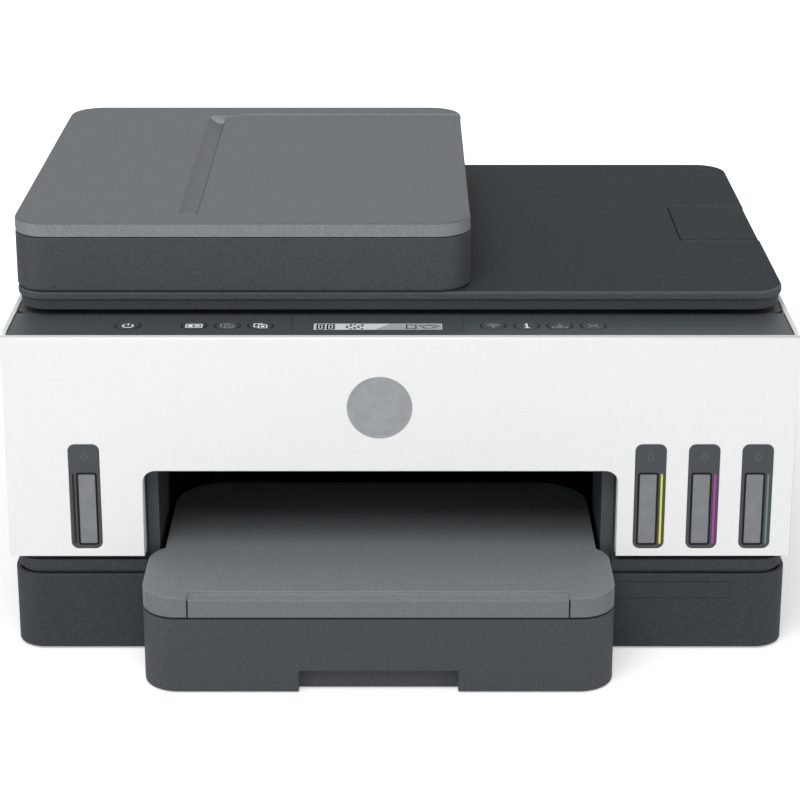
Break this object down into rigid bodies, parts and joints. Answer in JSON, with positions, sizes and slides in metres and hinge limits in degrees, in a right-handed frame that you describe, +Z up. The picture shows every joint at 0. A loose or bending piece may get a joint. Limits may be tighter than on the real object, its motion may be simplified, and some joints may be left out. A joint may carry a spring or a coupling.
{
  "type": "inkjet printer",
  "caption": "All-in-one ink tank printer with a flatbed scanner, document feeder, front tank windows and a pull-out paper cassette.",
  "frame": {"origin": "middle of the overall footprint, on the table", "axes": "+X to the right across the front, +Y to the back of the printer, +Z up"},
  "size_m": [0.4346, 0.3614, 0.2412],
  "materials": {
    "dark_plastic": "fine satin grain",
    "frame_plastic": "matt",
    "white_plastic": "fine satin grain",
    "grey_plastic": "fine satin grain",
    "black_plastic": "smooth",
    "rubber": "matt",
    "clear_glass": "polished",
    "steel": "ground",
    "white_foam": "smooth white film on foam",
    "gear_plastic": "acetal",
    "board": "circuit board",
    "tank_plastic": "smooth translucent"
  },
  "bodies": {
    "printer_body": {"base_tub": "dark_plastic", "feet": "rubber", "mid_frame": "frame_plastic", "left_side_panel": "white_plastic", "right_side_panel": "white_plastic", "rear_cover": "dark_plastic", "control_deck": "dark_plastic", "display_module": "black_plastic", "scanner_bed": "dark_plastic", "scanner_glass": "clear_glass", "carriage_rod": "steel", "carriage_belt": "rubber", "drive_motors": "steel", "platen": "frame_plastic", "service_station": "frame_plastic", "black_tank": "tank_plastic", "color_tanks": "tank_plastic", "ink_tubes": "rubber", "power_supply": "black_plastic", "main_board": "board"},
    "front_door": {"front_door": "white_plastic", "tank_windows": "black_plastic"},
    "rear_door": {"rear_door": "dark_plastic"},
    "lid": {"lid_frame": "frame_plastic", "lid_top": "dark_plastic", "lid_pad": "white_foam", "adf_base": "dark_plastic"},
    "feeder_cover": {"adf_cover": "grey_plastic"},
    "document_tray": {"document_tray": "grey_plastic"},
    "feeder_guide_front": {"adf_guide_front": "frame_plastic"},
    "feeder_guide_back": {"adf_guide_back": "frame_plastic"},
    "feeder_roller": {"adf_roller": "rubber"},
    "stop_flap": {"lid_flap": "dark_plastic"},
    "scan_bar": {"scan_carriage": "frame_plastic"},
    "print_carriage": {"print_carriage": "dark_plastic", "printheads": "black_plastic"},
    "feed_roller": {"feed_roller": "steel"},
    "eject_roller": {"eject_roller": "steel"},
    "idler_gear": {"idler_gear": "gear_plastic"},
    "motor_pinion": {"motor_pinion": "steel"},
    "pick_arm": {"pick_arm": "dark_plastic"},
    "pick_roller": {"pick_roller": "rubber"},
    "cassette": {"cassette": "dark_plastic", "output_tray": "grey_plastic"},
    "output_extender": {"output_extender": "grey_plastic"},
    "width_guide_left": {"width_guide_left": "frame_plastic"},
    "width_guide_right": {"width_guide_right": "frame_plastic"},
    "length_guide": {"length_guide": "frame_plastic"},
    "button_power": {"button_power": "black_plastic"},
    "button_card": {"button_card": "black_plastic"},
    "button_copy": {"button_copy": "black_plastic"},
    "button_color": {"button_color": "black_plastic"},
    "button_wireless": {"button_wireless": "black_plastic"},
    "button_info": {"button_info": "black_plastic"},
    "button_resume": {"button_resume": "black_plastic"},
    "button_cancel": {"button_cancel": "black_plastic"},
    "cap_black": {"cap_black": "rubber"},
    "cap_yellow": {"cap_yellow": "rubber"},
    "cap_magenta": {"cap_magenta": "rubber"},
    "cap_cyan": {"cap_cyan": "rubber"}
  },
  "joints": [
    {"name": "front_door_hinge", "type": "hinge", "parent": "printer_body", "child": "front_door", "pos_m": [0, -0.12275, 0.0609], "axis": [1, 0, 0], "range_deg": [0, 80]},
    {"name": "rear_door_hinge", "type": "hinge", "parent": "printer_body", "child": "rear_door", "pos_m": [-0.0115, 0.17755, 0.0667], "axis": [-1, 0, 0], "range_deg": [0, 75]},
    {"name": "lid_hinge", "type": "hinge", "parent": "printer_body", "child": "lid", "pos_m": [0, 0.17525, 0.19], "axis": [-1, 0, 0], "range_deg": [0, 65]},
    {"name": "feeder_cover_hinge", "type": "hinge", "parent": "lid", "child": "feeder_cover", "pos_m": [-0.2115, 0.037, 0.237], "axis": [0, -1, 0], "range_deg": [0, 60]},
    {"name": "document_tray_hinge", "type": "hinge", "parent": "feeder_cover", "child": "document_tray", "pos_m": [0.0362, 0.037, 0.2382], "axis": [0, 1, 0], "range_deg": [0, 165]},
    {"name": "feeder_guide_front_slide", "type": "slide", "parent": "lid", "child": "feeder_guide_front", "axis": [0, 1, 0], "range_m": [0, 0.05]},
    {"name": "feeder_guide_back_slide", "type": "slide", "parent": "lid", "child": "feeder_guide_back", "axis": [0, -1, 0], "range_m": [0, 0.05]},
    {"name": "feeder_roller_spin", "type": "hinge", "parent": "lid", "child": "feeder_roller", "pos_m": [-0.15, 0.037, 0.222], "axis": [0, 1, 0], "continuous": true},
    {"name": "stop_flap_hinge", "type": "hinge", "parent": "lid", "child": "stop_flap", "pos_m": [0.2115, 0.0404, 0.1995], "axis": [0, 1, 0], "range_deg": [0, 100]},
    {"name": "scan_bar_slide", "type": "slide", "parent": "printer_body", "child": "scan_bar", "axis": [1, 0, 0], "range_m": [0, 0.305]},
    {"name": "print_carriage_slide", "type": "slide", "parent": "printer_body", "child": "print_carriage", "axis": [-1, 0, 0], "range_m": [0, 0.29]},
    {"name": "feed_roller_spin", "type": "hinge", "parent": "printer_body", "child": "feed_roller", "pos_m": [-0.0115, 0.04425, 0.081], "axis": [1, 0, 0], "continuous": true},
    {"name": "eject_roller_spin", "type": "hinge", "parent": "printer_body", "child": "eject_roller", "pos_m": [-0.0115, -0.00975, 0.081], "axis": [1, 0, 0], "continuous": true},
    {"name": "idler_gear_spin", "type": "hinge", "parent": "printer_body", "child": "idler_gear", "pos_m": [-0.164, 0.01425, 0.081], "axis": [1, 0, 0], "continuous": true},
    {"name": "motor_pinion_spin", "type": "hinge", "parent": "printer_body", "child": "motor_pinion", "pos_m": [-0.164, 0.05625, 0.10179], "axis": [1, 0, 0], "continuous": true},
    {"name": "pick_arm_hinge", "type": "hinge", "parent": "printer_body", "child": "pick_arm", "pos_m": [-0.0115, 0.08075, 0.06], "axis": [-1, 0, 0], "range_deg": [0, 30]},
    {"name": "pick_roller_spin", "type": "hinge", "parent": "pick_arm", "child": "pick_roller", "pos_m": [-0.0115, 0.10875, 0.0513], "axis": [1, 0, 0], "continuous": true},
    {"name": "cassette_slide", "type": "slide", "parent": "printer_body", "child": "cassette", "axis": [0, -1, 0], "range_m": [0, 0.22]},
    {"name": "output_extender_slide", "type": "slide", "parent": "cassette", "child": "output_extender", "axis": [0, -1, 0], "range_m": [0, 0.09]},
    {"name": "width_guide_left_slide", "type": "slide", "parent": "cassette", "child": "width_guide_left", "axis": [1, 0, 0], "range_m": [0, 0.05]},
    {"name": "width_guide_right_slide", "type": "slide", "parent": "cassette", "child": "width_guide_right", "axis": [-1, 0, 0], "range_m": [0, 0.05]},
    {"name": "length_guide_slide", "type": "slide", "parent": "cassette", "child": "length_guide", "axis": [0, 1, 0], "range_m": [0, 0.14]},
    {"name": "button_power_press", "type": "slide", "parent": "printer_body", "child": "button_power", "axis": [0, 0, -1], "range_m": [0, 0.0008], "stiffness_N_per_m": 400},
    {"name": "button_card_press", "type": "slide", "parent": "printer_body", "child": "button_card", "axis": [0, 0, -1], "range_m": [0, 0.0008], "stiffness_N_per_m": 400},
    {"name": "button_copy_press", "type": "slide", "parent": "printer_body", "child": "button_copy", "axis": [0, 0, -1], "range_m": [0, 0.0008], "stiffness_N_per_m": 400},
    {"name": "button_color_press", "type": "slide", "parent": "printer_body", "child": "button_color", "axis": [0, 0, -1], "range_m": [0, 0.0008], "stiffness_N_per_m": 400},
    {"name": "button_wireless_press", "type": "slide", "parent": "printer_body", "child": "button_wireless", "axis": [0, 0, -1], "range_m": [0, 0.0008], "stiffness_N_per_m": 400},
    {"name": "button_info_press", "type": "slide", "parent": "printer_body", "child": "button_info", "axis": [0, 0, -1], "range_m": [0, 0.0008], "stiffness_N_per_m": 400},
    {"name": "button_resume_press", "type": "slide", "parent": "printer_body", "child": "button_resume", "axis": [0, 0, -1], "range_m": [0, 0.0008], "stiffness_N_per_m": 400},
    {"name": "button_cancel_press", "type": "slide", "parent": "printer_body", "child": "button_cancel", "axis": [0, 0, -1], "range_m": [0, 0.0008], "stiffness_N_per_m": 400},
    {"name": "cap_black_hinge", "type": "hinge", "parent": "printer_body", "child": "cap_black", "pos_m": [-0.1743, -0.08375, 0.1305], "axis": [-1, 0, 0], "range_deg": [0, 95]},
    {"name": "cap_yellow_hinge", "type": "hinge", "parent": "printer_body", "child": "cap_yellow", "pos_m": [0.1383, -0.08375, 0.1305], "axis": [-1, 0, 0], "range_deg": [0, 95]},
    {"name": "cap_magenta_hinge", "type": "hinge", "parent": "printer_body", "child": "cap_magenta", "pos_m": [0.16775, -0.08375, 0.1305], "axis": [-1, 0, 0], "range_deg": [0, 95]},
    {"name": "cap_cyan_hinge", "type": "hinge", "parent": "printer_body", "child": "cap_cyan", "pos_m": [0.1972, -0.08375, 0.1305], "axis": [-1, 0, 0], "range_deg": [0, 95]}
  ],
  "couplings": [
    {"joint": "eject_roller_spin", "follows": "feed_roller_spin", "ratio": 1.5},
    {"joint": "idler_gear_spin", "follows": "feed_roller_spin", "ratio": -1.5},
    {"joint": "motor_pinion_spin", "follows": "feed_roller_spin", "ratio": -3},
    {"joint": "width_guide_right_slide", "follows": "width_guide_left_slide", "ratio": 1},
    {"joint": "feeder_guide_back_slide", "follows": "feeder_guide_front_slide", "ratio": 1}
  ]
}
